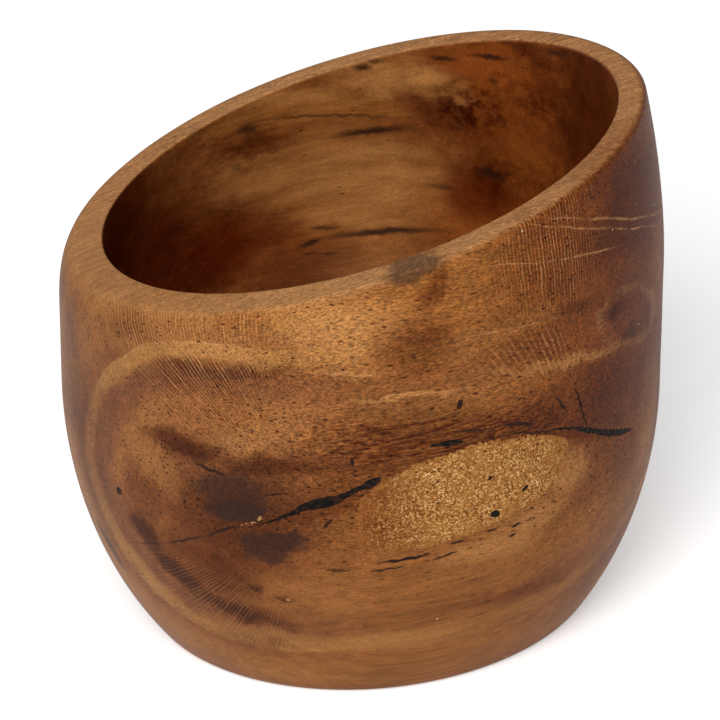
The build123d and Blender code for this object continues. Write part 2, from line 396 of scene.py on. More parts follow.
def inlay_tree(wall, place):
    """One closed lens of filler that follows the wall between an upper and a lower edge line."""
    size = bpy.context.scene.cup_sizes
    measures = ("Upper", "Lower", "Angle", "Height", "Half length", "Half width", "Slope")
    finish = ("Proud", "Depth", "Ragged", "Grain", "Grit", "Seed")
    inputs = {"Columns": "Int", "Rows": "Int", **dict.fromkeys(measures + finish, "Float")}
    tree, add, take = new_tree("Wall inlay", inputs, {"Mesh": "Geometry"})
    sheet = {"Size X": 2.0, "Size Y": 2.0, "Vertices X": take["Columns"], "Vertices Y": take["Rows"]}
    grid = add("GeometryNodeMeshGrid", sheet)
    spot = add("SeparateXYZ", add("GeometryNodeInputPosition")).outputs
    across = add("Math MULTIPLY_ADD", spot[1], 0.5, 0.5)
    rise = add("Mix", across, take["Lower"], take["Upper"])
    u = add("Math MULTIPLY", spot[0], take["Half length"])
    v = add("Math MULTIPLY", rise, take["Half width"])
    flat = add("CombineXYZ", u, v, 0.0)
    seeded = add("CombineXYZ", u, v, take["Seed"])
    wander = add("TexNoise", {"Vector": seeded, "Scale": 1800.0, "Detail": 3.0})
    wander = add("VectorMath SUBTRACT", wander.outputs[1], (0.5,) * 3)
    wander = add("VectorMath SCALE", wander, take["Ragged"])
    flat = add("VectorMath ADD", flat, wander)
    turned = add("VectorRotate", {"Vector": flat, "Angle": take["Slope"]}, rotation_type="Z_AXIS")
    local = add("SeparateXYZ", turned).outputs
    swing = add("Math DIVIDE", local[0], size.belly_radius)
    angle = add("Math ADD", take["Angle"], swing)
    height = add("Math ADD", take["Height"], local[1])
    radius = add("GeometryNodeGroup", height, angle, node_tree=wall)
    # One on the outline, zero in the middle
    near = add("Math MAXIMUM", *(add("Math ABSOLUTE", spot[i]) for i in (0, 1)))
    kept = {"Geometry": grid, "Name": "edge_share", "Value": near}
    marked = add("GeometryNodeStoreNamedAttribute", kept)
    inside = add("Math SUBTRACT", 1.0, add("Math POWER", near, 8.0))
    grains = add("TexNoise", {"Vector": seeded, "Scale": take["Grit"], "Detail": 2.0})
    grains = add("MapRange", grains, 0.3, 0.7, -0.5, 0.5)
    crown = add("Math MULTIPLY_ADD", grains, take["Grain"], take["Proud"])
    sunk = add("Math MULTIPLY", take["Depth"], -1.0)
    base = add("Math SUBTRACT", radius, 0.02 * MM)
    sheets = []
    for lift in (crown, sunk):
        reach = add("Math MULTIPLY_ADD", inside, lift, base)
        point = add("GeometryNodeGroup", reach, angle, height, node_tree=place)
        sheets.append(add("GeometryNodeSetPosition", {"Geometry": marked, "Position": point}))
    sheets[1] = add("GeometryNodeFlipFaces", sheets[1])
    joined = add("GeometryNodeJoinGeometry", sheets)
    closed = add("GeometryNodeMergeByDistance", {"Geometry": joined, "Distance": 0.001 * MM})
    add("NodeGroupOutput", add("GeometryNodeSetShadeSmooth", {"Geometry": closed}))
    return tree


def fill_tree(name, inlay, material, fills):
    """The fills of one piece: each has its edge lines, its place and its finish."""
    tree, add, given = new_tree(name, {"Seed": "Float"}, {"Mesh": "Geometry"})
    lenses = []
    spot = add("SeparateXYZ", add("GeometryNodeInputPosition"))
    along = add("Math MULTIPLY_ADD", spot, 0.5, 0.5)
    for fill in fills:
        values = dict(fill["values"])
        for label in ("Upper", "Lower"):
            line = [(x / 2 + 0.5, y / 2 + 0.5) for x, y in fill[label]]
            edge = add("FloatCurve", {"Value": along}, line=line)
            values[label] = add("Math MULTIPLY_ADD", edge, 2.0, -1.0)
        values["Seed"] = given[0]
        lenses.append(add("GeometryNodeGroup", values, node_tree=inlay))
    end_tree(add, add("GeometryNodeJoinGeometry", lenses), material)
    return tree


def grown(name, tree, values):
    """A plain mesh object made by a geometry tree, whose inputs are set by their identifiers."""
    piece = bpy.data.objects.new(name, bpy.data.meshes.new(name))
    bpy.context.scene.collection.objects.link(piece)
    modifier = piece.modifiers.new(name, "NODES")
    modifier.node_group = tree
    for socket in tree.interface.items_tree:
        if socket.in_out == "INPUT":
            modifier[socket.identifier] = values[socket.name]
    graph = bpy.context.evaluated_depsgraph_get()
    mesh = bpy.data.meshes.new_from_object(piece.evaluated_get(graph))
    piece.modifiers.clear()
    piece.data = mesh
    work = bmesh.new()
    work.from_mesh(mesh)
    bmesh.ops.recalc_face_normals(work, faces=work.faces)
    work.to_mesh(mesh)
    work.free()
    return piece


def new_material(name):
    """An empty node material and the function that adds to it."""
    material = bpy.data.materials.new(name)
    material.use_nodes = True
    material.node_tree.nodes.clear()
    return material, adder(material.node_tree)


def end_material(add, finish):
    """End a material's tree with its surface."""
    add("OutputMaterial", add("BsdfPrincipled", finish))


def millimetres(add):
    """Object coordinates in millimetres."""
    return add("VectorMath SCALE", add("TexCoord").outputs["Object"], PER_METRE)


# The pith runs just under the front wall: a point on it in metres and its turn about Y and Z
PITH_POINT = (0.0, -25.6 * MM, 24.2 * MM)
PITH_TURN = (0.0, math.radians(-2.8), math.radians(11.7))

# Growth rings: distance from the pith in mm, and the wood's colour there
RINGS = (
    (0.0, "#5c351d"),
    (3.0, "#6e4123"),
    (6.0, "#7d4a27"),
    (8.0, "#935d31"),
    (11.0, "#9a6336"),
    (12.5, "#855230"),
    (13.8, "#7c4b2c"),
    (14.8, "#83522e"),
    (15.5, "#a4703c"),
    (16.6, "#a6723d"),
    (17.4, "#8a5228"),
    (19.5, "#9a622d"),
    (22.0, "#a0672f"),
    (25.0, "#8d5526"),
    (28.0, "#9a602b"),
    (32.0, "#8a5225"),
    (37.0, "#945826"),
    (43.0, "#9c5f2e"),
    (60.0, "#a26431"),
)
RING_SPAN = 60.0

# A light band of one ring: its outer edge's distance from the pith in mm
BAND_EDGE = 16.8

# Rays fan out on the wall from four places: angle in degrees and height in mm, lines in a full turn, bounds.
# A bound has its measure in mm, two values of it, and the fan's strength at each
LEFT_BOUNDS = (("along", -4.5, -8.0, 0.0, 1.0), ("along", -24.0, -17.0, 0.15, 1.0))
INNER_BOUNDS = (*LEFT_BOUNDS, ("past the band", -1.2, -1.7, 0.0, 1.0), ("above", -3.0, 3.0, 0.4, 1.0))
OUTER_BOUNDS = (*LEFT_BOUNDS, ("past the band", -0.3, 0.3, 0.0, 1.0), ("above", 2.0, 6.0, 0.0, 1.0))
HIGH_BOUNDS = (
    ("along", 15.5, 19.5, 0.0, 1.0),
    ("along", 29.0, 24.5, 0.0, 1.0),
    ("height", 39.5, 46.0, 0.0, 0.9),
)
LOWER_BOUNDS = (
    ("along", 13.0, 16.5, 0.0, 1.0),
    ("along", 24.0, 21.5, 0.0, 1.0),
    ("height", 35.0, 36.8, 0.0, 0.65),
    ("height", 43.0, 40.5, 0.0, 1.0),
)
FANS = {
    "left, inside the band": (-9.0, 24.0, 290.0, INNER_BOUNDS),
    "left, outside the band": (-17.0, 4.0, 645.0, OUTER_BOUNDS),
    "right, under the rim": (45.0, -200.0, 4100.0, HIGH_BOUNDS),
    "right, lower": (50.0, 20.0, 230.0, LOWER_BOUNDS),
}

# Oval marks in the wood, each with its angle from the front in degrees, height on the axis in mm,
# half length and half width in mm, slope in degrees and strength
HEART_STAINS = {
    "upper heart": (-24.5, 24.7, 3.6, 2.1, 4, 0.8),
    "under the upper heart": (-23.5, 22.9, 3.5, 1.2, 8, 1),
    "lower heart": (-16.8, 20, 3.4, 1.1, 4, 1),
    "lower heart's tip": (-12.6, 20.7, 1.4, 0.6, 8, 1),
    "under the lower heart": (-17.5, 18.7, 2.2, 1.1, 0, 0.85),
    "on the rim": (9.8, 48.7, 2.7, 1.1, 18, 0.75),
    "bark at the side": (-62.6, 11.2, 2.6, 1.1, -51, 0.8),
}
SHADES = {
    "streaked band over the crack": (19, 31.4, 11, 2.4, -1, 0.55),
    "left of the band": (0, 28.6, 5, 2.6, 12, 0.5),
    "round the hearts": (-23, 21.5, 8.5, 4.6, 20, 0.6),
    "left seam's border": (-7.5, 24.4, 6, 1.6, 17, 0.7),
    "right seam's border": (50, 27.8, 6, 1.4, -13, 0.6),
    "dark arc": (-45, 16.8, 3.2, 1.7, -55, 0.95),
    "dark arc, lower": (-37, 13.7, 4, 1.7, -24, 0.95),
    "dark arc, end": (-25, 10.8, 5, 1.4, -12, 0.8),
    "low left": (-33, 15.5, 6.5, 3, -14, 0.85),
    "left of the hearts": (-45, 20.5, 3, 3.4, 0, 0.7),
    "outer left": (-66, 24, 3.5, 11, 14, 0.55),
    "middle": (9.7, 41, 4, 3, 10, 0.75),
    "under the rim": (13.4, 46.6, 2.6, 0.8, 64, 0.85),
    # Darker wood, and partly painted shade where the light falls off on the right
    "high right": (64, 48, 8, 7, 0, 0.9),
    "right heart": (53, 32.5, 6, 3.5, 0, 0.45),
    # Darker wood, and partly painted shade where the light falls off on the right
    "right heart's side": (69, 30, 4, 6, 0, 0.6),
    "swirl's eye": (53.6, 39, 1.6, 1, -10, 1),
    "swirl's second eye": (60, 35.6, 1.5, 1, -20, 0.8),
    "low right": (62, 8.5, 8, 3.4, 20, 0.45),
    "right of the patch": (60, 22, 3.4, 2.4, -20, 0.4),
    "low right band": (34, 11.9, 6, 0.9, 0, 0.6),
}
DEEP_SHADES = {
    "heart corner": (-35, 28.5, 4.6, 1.3, -2, 0.9),
    "over the hearts": (-17.5, 28.2, 5, 1.2, 4, 0.75),
    "dark arc": (-45, 16.5, 3, 1.4, -55, 0.7),
    "dark arc, lower": (-39, 13.6, 3.2, 1.3, -30, 0.75),
    "dark arc, end": (-26.6, 10.9, 3.4, 1, -14, 0.6),
    "spot under the hearts": (-20.3, 14.3, 0.9, 0.5, 0, 0.8),
    "second spot": (-14.8, 13.2, 0.8, 0.4, 0, 0.7),
    "inside the band": (-25, 37.4, 6, 0.8, 8, 0.5),
    "under the left rim": (-50, 38.6, 3.5, 1.2, 14, 0.35),
    "right fan": (43, 41.6, 2, 0.7, -10, 0.6),
}
LIGHTS = {
    "under the rim": (-5, 43, 6, 3, 0, 0.7),
    "upper left": (-34, 40.6, 8.5, 2.6, 4, 0.6),
    "left rim": (-48, 38.6, 4, 2.6, 10, 0.55),
    "band's top": (-29, 38.4, 6, 0.8, 6, 0.5),
    "beside the heart": (-40, 24.6, 2.6, 2, 0, 0.3),
    "over the heart": (-20, 31, 4.6, 2, 22, 0.4),
    "under the right fan": (42, 36.1, 8.5, 0.6, -7, 0.6),
    "right of the patch": (41, 24.6, 3.2, 2.2, -20, 0.6),
    "low right of the patch": (34, 20.6, 4, 1.5, 10, 0.5),
    "under the patch": (25, 18.4, 5, 1.4, 4, 0.5),
    "streak": (-1.5, 38.5, 3.6, 0.4, 0, 0.6),
    "lower streak": (8, 36.1, 4.8, 0.3, 2, 0.6),
    "right edge": (72, 25, 3, 6, 0, 0.3),
    "golden band": (-47, 11, 4.5, 1, -35, 0.5),
    "golden band, low": (-22, 8.2, 8, 1, 0, 0.45),
    "golden band, middle": (8, 8, 9, 1.2, 0, 0.4),
}
# Growth rings round a branch that has grown over: its place, half length, half width and slope
SWIRL = (61.5, 37.2, 7.6, 3.5, -22)
PALE_LINES = {
    "highest": (57, 48.1, 12.5, 0.12, -19.3, 0.7),
    "high": (56, 47.3, 12.3, 0.1, -19.9, 0.65),
    "over the right fan": (41, 46.8, 7.9, 0.1, -10, 0.65),
    "across the right fan": (28, 41.5, 5.5, 0.1, -1.5, 0.55),
}
# Golden streaks of the wood on the hollow's back wall, and painted light where the front softbox falls on it
HOLLOW_GOLD_AND_PAINTED_LIGHT = {
    "glow": (180, 34, 10, 4.4, 0, 0.8),
    "low glow": (183, 29.6, 6, 1.2, 4, 0.6),
    "left glow": (203, 34.6, 6, 2.4, 0, 0.7),
    "near the lip": (171, 45.3, 5.6, 2, 2, 1),
    "under it": (157, 43.7, 2, 0.5, 0, 0.7),
    "high left": (196, 43.4, 5, 1, 0, 0.5),
}
# Red glows on the hollow's sides: partly red wood, partly painted light bounced between the red walls
HOLLOW_RED_AND_PAINTED_GLOW = {
    "high right": (148, 47.6, 5.5, 2.4, -6, 0.55),
    "right": (142, 42, 5, 3.4, 0, 0.25),
    "low left": (205, 28, 7, 4, 0, 0.2),
    "low right": (152, 31.5, 5, 5, 0, 0.3),
}
# Darker wood, and painted shade on the hollow's sides, which face away from the front softbox
HOLLOW_DARK_AND_PAINTED_SHADE = {
    "low side": (-122, 28, 10, 10, 0, 1),
    "low corner": (-108, 33, 9, 12, 0, 1),
    "left foot": (200, 25, 7, 2.4, 0, 0.6),
    "left streaks": (206, 38.6, 4, 1, 0, 0.4),
    "middle streaks": (162, 42.6, 4.5, 1.6, 6, 0.4),
    "low foot": (-141, 28, 7, 4.5, 0, 1),
    "left of the middle": (-153, 28.6, 5, 2.4, 0, 0.7),
    "high side": (112, 44, 6, 14, 0, 0.7),
    "right foot": (152, 33.4, 4, 3, 0, 0.9),
    "under the lip": (138, 51, 9, 0.8, 8, 0.4),
}
DASHES = {
    "under the patch 1": (8.2, 18.6, 2.6, 0.17, 7, 1),
    "under the patch 2": (5, 17.5, 1.6, 0.12, 8, 0.9),
    "under the patch 3": (18, 19.9, 0.75, 0.15, 7, 0.9),
    "under the patch 4": (24.7, 20.5, 0.6, 0.14, 3, 0.9),
    "under the patch 5": (29.9, 20.4, 0.55, 0.16, 7, 1),
    "under the patch 6": (29.3, 19.4, 0.4, 0.16, 10, 1),
    "under the patch 7": (15.9, 18.5, 1.2, 0.15, 14, 0.9),
    "under the patch 8": (33, 20.6, 0.75, 0.1, 0, 0.7),
    "under the patch 9": (-4.4, 17.4, 1, 0.16, 4, 0.7),
    "beside the patch": (-6, 22.7, 0.64, 0.18, 54, 0.9),
    "over the heart 1": (-28.7, 26.6, 1.8, 0.16, -10, 0.9),
    "over the heart 2": (-15.5, 25.3, 1.3, 0.12, 14, 0.8),
    "over the crack 1": (30.3, 31.3, 1.8, 0.2, -12, 0.9),
    "over the crack 2": (20.8, 31.7, 1.8, 0.13, -6, 0.8),
    "over the crack 3": (33, 30, 2.4, 0.14, -14, 0.8),
    "right of the crack": (39.5, 32.1, 1.4, 0.13, -56, 0.9),
    "fissure 1": (-45, 15.6, 2.6, 0.1, 20, 0.6),
    "fissure 2": (-35, 17.9, 2.4, 0.14, 26, 0.8),
    "fissure 3": (-26.5, 20.2, 2, 0.16, 29, 0.85),
}
CRUMBS = {
    "crumb 1": (-22.7, 21.3, 0.16, 0.08, 30, 0.6),
    "crumb 2": (-21.4, 21.7, 0.1, 0.12, 0, 0.6),
    "crumb 3": (-20.2, 21.9, 0.22, 0.1, 40, 0.8),
    "crumb 4": (-18.9, 22.4, 0.18, 0.1, -20, 0.7),
    "crumb 5": (-17.4, 22.9, 0.2, 0.07, 50, 0.7),
}
HOLLOW_DASHES = {
    "long": (174.3, 28, 5.2, 0.3, -6, 0.9),
    "left of the long one": (192.4, 27, 1.3, 0.26, -14, 0.9),
    "over the long one": (188.6, 28.4, 1.5, 0.22, 0, 0.7),
    "under it 1": (192.5, 25.9, 0.7, 0.17, 0, 0.6),
    "under it 2": (188, 25.8, 0.9, 0.17, 0, 0.6),
    "half way up": (177.5, 39.2, 3.4, 0.38, -8, 0.9),
    "line over it": (187.5, 41, 6.3, 0.15, 2, 0.6),
    "near the lip 1": (179.6, 46.4, 0.9, 0.4, 0, 0.9),
    "near the lip 2": (176.8, 47.1, 0.8, 0.25, 0, 0.7),
    "near the lip 3": (160.8, 48, 1.4, 0.24, 0, 0.8),
    "near the lip 4": (148.6, 49.1, 1.9, 0.28, -6, 0.9),
    "near the lip 5": (128.8, 52, 2, 0.4, -10, 0.7),
    "near the lip 6": (147.7, 46.5, 0.6, 0.3, 0, 0.6),
    "right": (148.8, 36, 1.5, 0.5, 0, 0.85),
    "right, lower": (160.9, 33.3, 1.6, 0.3, 0, 0.5),
    "left": (207.2, 40.6, 0.8, 0.6, 0, 0.7),
    "left, lower": (210, 36.5, 0.5, 0.3, 0, 0.5),
}
HOLLOW_MOTTLES = {
    "near the lip": (153.5, 43, 4.6, 3, 0, 0.9),
    "left": (205, 39.4, 4.5, 2.2, 0, 0.6),
    "right": (148, 36, 4, 2.4, 0, 0.6),
    "high right": (138, 46, 5, 4, 0, 0.5),
}
STREAKED = {
    "over the crack": (16, 31, 15, 3.2, -1, 1),
    "right heart": (54, 31, 5, 3, 0, 0.5),
}
# Distance of the marks' middles from the turning axis, and how deep they go, in mm
WALL_MARK_RADIUS = 29.0
HOLLOW_MARK_RADIUS = 25.0
MARK_DEPTH = 6.0


def oval_place(add, place, mark, radius, reach=1.0):
    """How near a place is to an oval's middle: one there, and zero at the oval's edge times its reach."""
    angle, height, length, width, slope = mark
    turn = math.radians(angle)
    shape = {
        "Vector": place,
        "Location": (radius * math.sin(turn), -radius * math.cos(turn), height),
        "Rotation": (0.0, -math.radians(slope), turn),
        "Scale": (length * reach, MARK_DEPTH * reach, width * reach),
    }
    oval = add("Mapping", shape, vector_type="TEXTURE")
    return add("TexGradient", oval, gradient_type="SPHERICAL").outputs["Fac"]


def oval_marks(add, place, marks, softness, radius=WALL_MARK_RADIUS):
    """Mask of oval marks that go a few millimetres into the wall."""
    mask = 0.0
    reach = 1.0 + softness
    for *mark, strength in marks.values():
        near = oval_place(add, place, mark, radius, reach)
        ends = (near, 0.0, 2.0 * softness / reach, 0.0, strength)
        mask = add("Math MAXIMUM", mask, add("MapRange", *ends, interpolation_type="SMOOTHSTEP"))
    return mask


def branch_swirl(add, place):
    """A grown-over branch on the right of the wall: masks of its pale outline and its darker inside."""
    near = oval_place(add, place, SWIRL, WALL_MARK_RADIUS)
    outline = add("MapRange", near, 0.02, 0.14, 0.0, 0.4)
    inner = add("MapRange", near, 0.4, 0.16)
    broken = streaks(add, place, (0.25,) * 3, 0.0, 1.0, 0.12)
    inside = add("MapRange", near, 0.14, 0.4, 0.0, 0.55)
    return faded(add, outline, inner, broken), inside


def frayed(add, place, pace, reach):
    """A place moved by noise, whose pace is in cells per mm and whose reach is in mm."""
    paced = add("VectorMath MULTIPLY", place, pace)
    noise = add("TexNoise", {"Vector": paced, "Scale": 1.0, "Detail": 2.0})
    noise = add("VectorMath SUBTRACT", noise.outputs[1], (0.5,) * 3)
    noise = add("VectorMath MULTIPLY", noise, reach)
    return add("VectorMath ADD", place, noise)


def streaks(add, place, pace, low, high, sharpness=0.2):
    """Noise with a pace in cells per mm in each direction, as a value from low to high."""
    paced = add("VectorMath MULTIPLY", place, pace)
    noise = add("TexNoise", {"Vector": paced, "Scale": 1.0, "Detail": 3.0, "Roughness": 0.6})
    return add("MapRange", noise, 0.5 - sharpness, 0.5 + sharpness, low, high)


def wood_places(add):
    """Where a point is in the wood, in millimetres about the turning axis and the pith, and on the cup."""
    lean = bpy.context.scene.cup_sizes.axis_lean
    coords = add("TexCoord").outputs["Object"]
    upright = {"Vector": coords, "Rotation": (0.0, -lean, 0.0), "Scale": (PER_METRE,) * 3}
    lying = {"Vector": coords, "Location": PITH_POINT, "Rotation": PITH_TURN, "Scale": (MM,) * 3}
    wood = SimpleNamespace()
    wood.axis = add("Mapping", upright, vector_type="POINT")
    wood.height = add("SeparateXYZ", wood.axis).outputs[2]
    wood.grain = add("Mapping", lying, vector_type="TEXTURE")
    wood.along, _, wood.above = add("SeparateXYZ", wood.grain).outputs
    # Rings wander slowly and fray finely
    wandering = frayed(add, wood.grain, (0.02, 0.05, 0.05), (0.0, 5.0, 5.0))
    wood.rings = frayed(add, wandering, (0.1, 0.5, 0.5), (0.0, 0.5, 0.5))
    square = add("VectorMath MULTIPLY", wood.rings, (0.0, 1.0, 1.0))
    wood.out = add("VectorMath LENGTH", square)
    wood.rim = add("Attribute", attribute_name="sanded_rim").outputs["Fac"]
    wood.unsanded = add("MapRange", wood.rim, 0.0, 1.0, 1.0, 0.4)
    flat = add("VectorMath MULTIPLY", wood.axis, (1.0, 1.0, 0.0))
    bowl = add("MapRange", add("VectorMath LENGTH", flat), 25.8, 26.2, 1.0, 0.0)
    wood.hollow = faded(add, bowl, add("Math SUBTRACT", 1.0, wood.rim))
    wood.outside = add("Math SUBTRACT", 1.0, wood.hollow)
    return wood


def ring_colour(add, wood):
    """The wood's colour: rings, clear on the left where the wall cuts across them, streaks and fibres, with
    painted shade towards the right side and a paler rim face, partly painted light.
    """
    share = add("Math DIVIDE", wood.out, RING_SPAN)
    ring = add("ValToRGB", share, stops=[(far / RING_SPAN, code) for far, code in RINGS])
    tone = streaks(add, wood.grain, (0.03, 0.12, 0.12), 0.0, 1.0)
    fibre = add("ValToRGB", tone, stops=[(0.0, "#7d4a22"), (0.5, "#925a2a"), (1.0, "#a56c33")])
    clear = add("MapRange", wood.along, -9.0, 3.0, 1.0, 0.35)
    colour = add("Mix", clear, fibre, ring, data_type="RGBA")
    # Streaks in the outer wood, 2.5 mm wide, then fibres 0.9 mm and 0.35 mm wide
    outer = add("MapRange", wood.out, 30.0, 38.0)
    broad = streaks(add, wood.rings, (0.05, 0.4, 0.4), 0.0, 0.65, 0.14)
    cloud = streaks(add, wood.grain, (0.035, 0.13, 0.13), -0.3, 0.5)
    # Painted shade: the wall darkens towards the right, above the foot, where the softbox's light falls off
    right = add("MapRange", wood.along, 13.0, 26.0, 0.0, 0.8)
    upper = add("MapRange", wood.height, 18.0, 30.0, 0.15, 1.0)
    layers = (
        (add("Math MAXIMUM", cloud, 0.0), "MIX", "#5e2e12"),
        (faded(add, broad, outer), "MULTIPLY", "#b58c78"),
        # Painted shade towards the right
        (faded(add, right, upper), "MULTIPLY", "#cfa474"),
        # The rim face is paler: partly sanded wood with less oil, partly painted light from above
        (faded(add, wood.rim, 0.75), "MIX", "#be8857"),
    )
    colour = layered(add, colour, layers)
    for pace, dark, pale in (((0.07, 1.1, 1.1), 0.82, 1.15), ((0.2, 2.8, 2.8), 0.8, 1.2)):
        colour = add("VectorMath SCALE", colour, streaks(add, wood.rings, pace, dark, pale))
    return colour


def ray_lines(add, wood):
    """Rays: pale lines about 0.4 mm apart that fan out on the wall where it cuts across the grain.

    Gives the lines and how clear they are.
    """
    wavering = frayed(add, wood.axis, (0.4,) * 3, (0.5,) * 3)
    # The band that parts the two fans on the left lies further out under the pith
    edge = add("MapRange", wood.above, -4.0, 4.0, 20.0, BAND_EDGE)
    past = add("Math SUBTRACT", wood.out, edge)
    measures = {"along": wood.along, "above": wood.above, "height": wood.height, "past the band": past}
    lines = clear = 0.0
    for angle, focus, count, bounds in FANS.values():
        turned = (0.0, 0.0, math.radians(angle))
        spread = {"Vector": wavering, "Location": (0.0, 0.0, focus), "Rotation": turned}
        fan = add("Mapping", spread, vector_type="TEXTURE")
        aside, _, rise = add("SeparateXYZ", fan).outputs
        turn = add("Math ARCTAN2", aside, rise)
        lane = add("Math MULTIPLY", turn, count / 4.0)
        drift = add("TexNoise", {"W": lane, "Scale": 0.16, "Detail": 2.0}, noise_dimensions="1D")
        comb = add("Math MULTIPLY_ADD", drift, 6.0, add("Math MULTIPLY", turn, count))
        comb = add("Math SINE", comb)
        line = add("MapRange", comb, 0.2, 0.95, 0.0, 1.0, interpolation_type="SMOOTHSTEP")
        # Each ray has its own strength, and breaks every few millimetres
        pieces = add("CombineXYZ", lane, add("Math MULTIPLY", rise, 0.25))
        own = streaks(add, pieces, (1.0, 1.0, 1.0), 0.0, 1.0, 0.16)
        upright = add("Math ABSOLUTE", add("Math COSINE", turn))
        share = add("MapRange", upright, 0.35, 0.7)
        share = faded(add, share, *(add("MapRange", measures[name], *ends) for name, *ends in bounds))
        lines = add("Math MAXIMUM", lines, faded(add, line, own, share))
        clear = add("Math MAXIMUM", clear, share)
    fades = (
        add("MapRange", wood.out, 6.0, 9.5),
        add("MapRange", wood.out, 34.0, 27.0),
        streaks(add, wood.grain, (0.16,) * 3, 0.4, 1.0, 0.14),
        wood.unsanded,
        wood.outside,
    )
    return faded(add, lines, *fades), faded(add, clear, *fades)


def band_line(add, wood):
    """The light line on the band's outer edge over the pith, about 0.15 mm wide and broken."""
    gap = add("Math ABSOLUTE", add("Math SUBTRACT", wood.out, BAND_EDGE))
    line = add("MapRange", gap, 0.03, 0.16, 0.7, 0.0)
    left = add("MapRange", wood.along, -2.0, -8.0)
    over = add("MapRange", wood.above, 8.0, 12.0)
    return faded(add, line, left, over, streaks(add, wood.grain, (0.7,) * 3, 0.1, 1.0, 0.12))


def pore_dots(add, wood):
    """Pores: dots on end grain and dashes along it, 0.2 mm wide and 0.8 mm long, crowded near the heart."""
    paced = add("VectorMath MULTIPLY", wood.rings, (0.9, 2.5, 2.5))
    cell = add("TexVoronoi", {"Vector": paced, "Scale": 1.0}).outputs
    hole = add("MapRange", cell[0], 0.16, 0.36, 1.0, 0.0)
    chance = add("SeparateColor", cell[1])
    crowd = streaks(add, wood.rings, (0.12, 0.16, 0.16), -0.2, 0.2)
    near = add("MapRange", wood.out, 9.0, 13.0, 0.2, 0.0)
    bare = add("Math MULTIPLY", wood.hollow, -0.3)
    for extra in (crowd, near, bare):
        chance = add("Math ADD", chance, extra)
    chosen = add("MapRange", chance, 0.55, 0.9)
    low = add("MapRange", wood.height, 14.0, 22.0, 0.35, 1.0)
    return faded(add, hole, chosen, wood.unsanded, low)


def hollow_masks(add, wood, soft, firm):
    """Masks inside the hollow: lights, reds and shades, partly the wood's own colour and partly painted light
    and shade, then mottling and dashes.
    """
    light, red, shade, mottled = (
        oval_marks(add, soft, marks, 0.6, HOLLOW_MARK_RADIUS)
        for marks in (HOLLOW_GOLD_AND_PAINTED_LIGHT, HOLLOW_RED_AND_PAINTED_GLOW, HOLLOW_DARK_AND_PAINTED_SHADE, HOLLOW_MOTTLES)
    )
    dash = oval_marks(add, firm, HOLLOW_DASHES, 0.75, HOLLOW_MARK_RADIUS)
    light = faded(add, light, streaks(add, wood.rings, (0.06, 0.7, 0.7), 0.4, 1.0, 0.16))
    mottle = faded(add, streaks(add, wood.rings, (0.28, 1.1, 1.1), 1.0, 0.0, 0.12), mottled)
    return [faded(add, mask, wood.hollow) for mask in (light, red, shade, mottle, dash)]


def fibre_ends(add, wood, stain):
    """Fibre ends, drawn 0.15 mm wide so that they show, with painted glints where fibres catch the light, all
    sanded away low down and on the left.
    """
    fine = streaks(add, wood.grain, (2.2, 6.4, 6.4), -0.5, 0.5, 0.17)
    # Painted glints: pale flecks where fibres would catch the light, brightening the colour by up to a third
    pale = streaks(add, wood.grain, (1.6, 6.0, 6.0), -0.4, 0.3, 0.17)
    fine = add("Math ADD", fine, add("Math MAXIMUM", pale, 0.0))
    reach = faded(
        add,
        add("MapRange", wood.height, 15.0, 24.0, 0.3, 1.1),
        add("MapRange", stain, 0.0, 1.0, 1.0, 0.3),
        add("MapRange", wood.along, -24.0, -9.0, 0.35, 1.0),
        add("MapRange", wood.hollow, 0.0, 1.0, 1.0, 0.3),
        add("MapRange", wood.rim, 0.0, 1.0, 1.0, 0.75),
    )
    return add("Math MULTIPLY_ADD", fine, reach, 0.99)


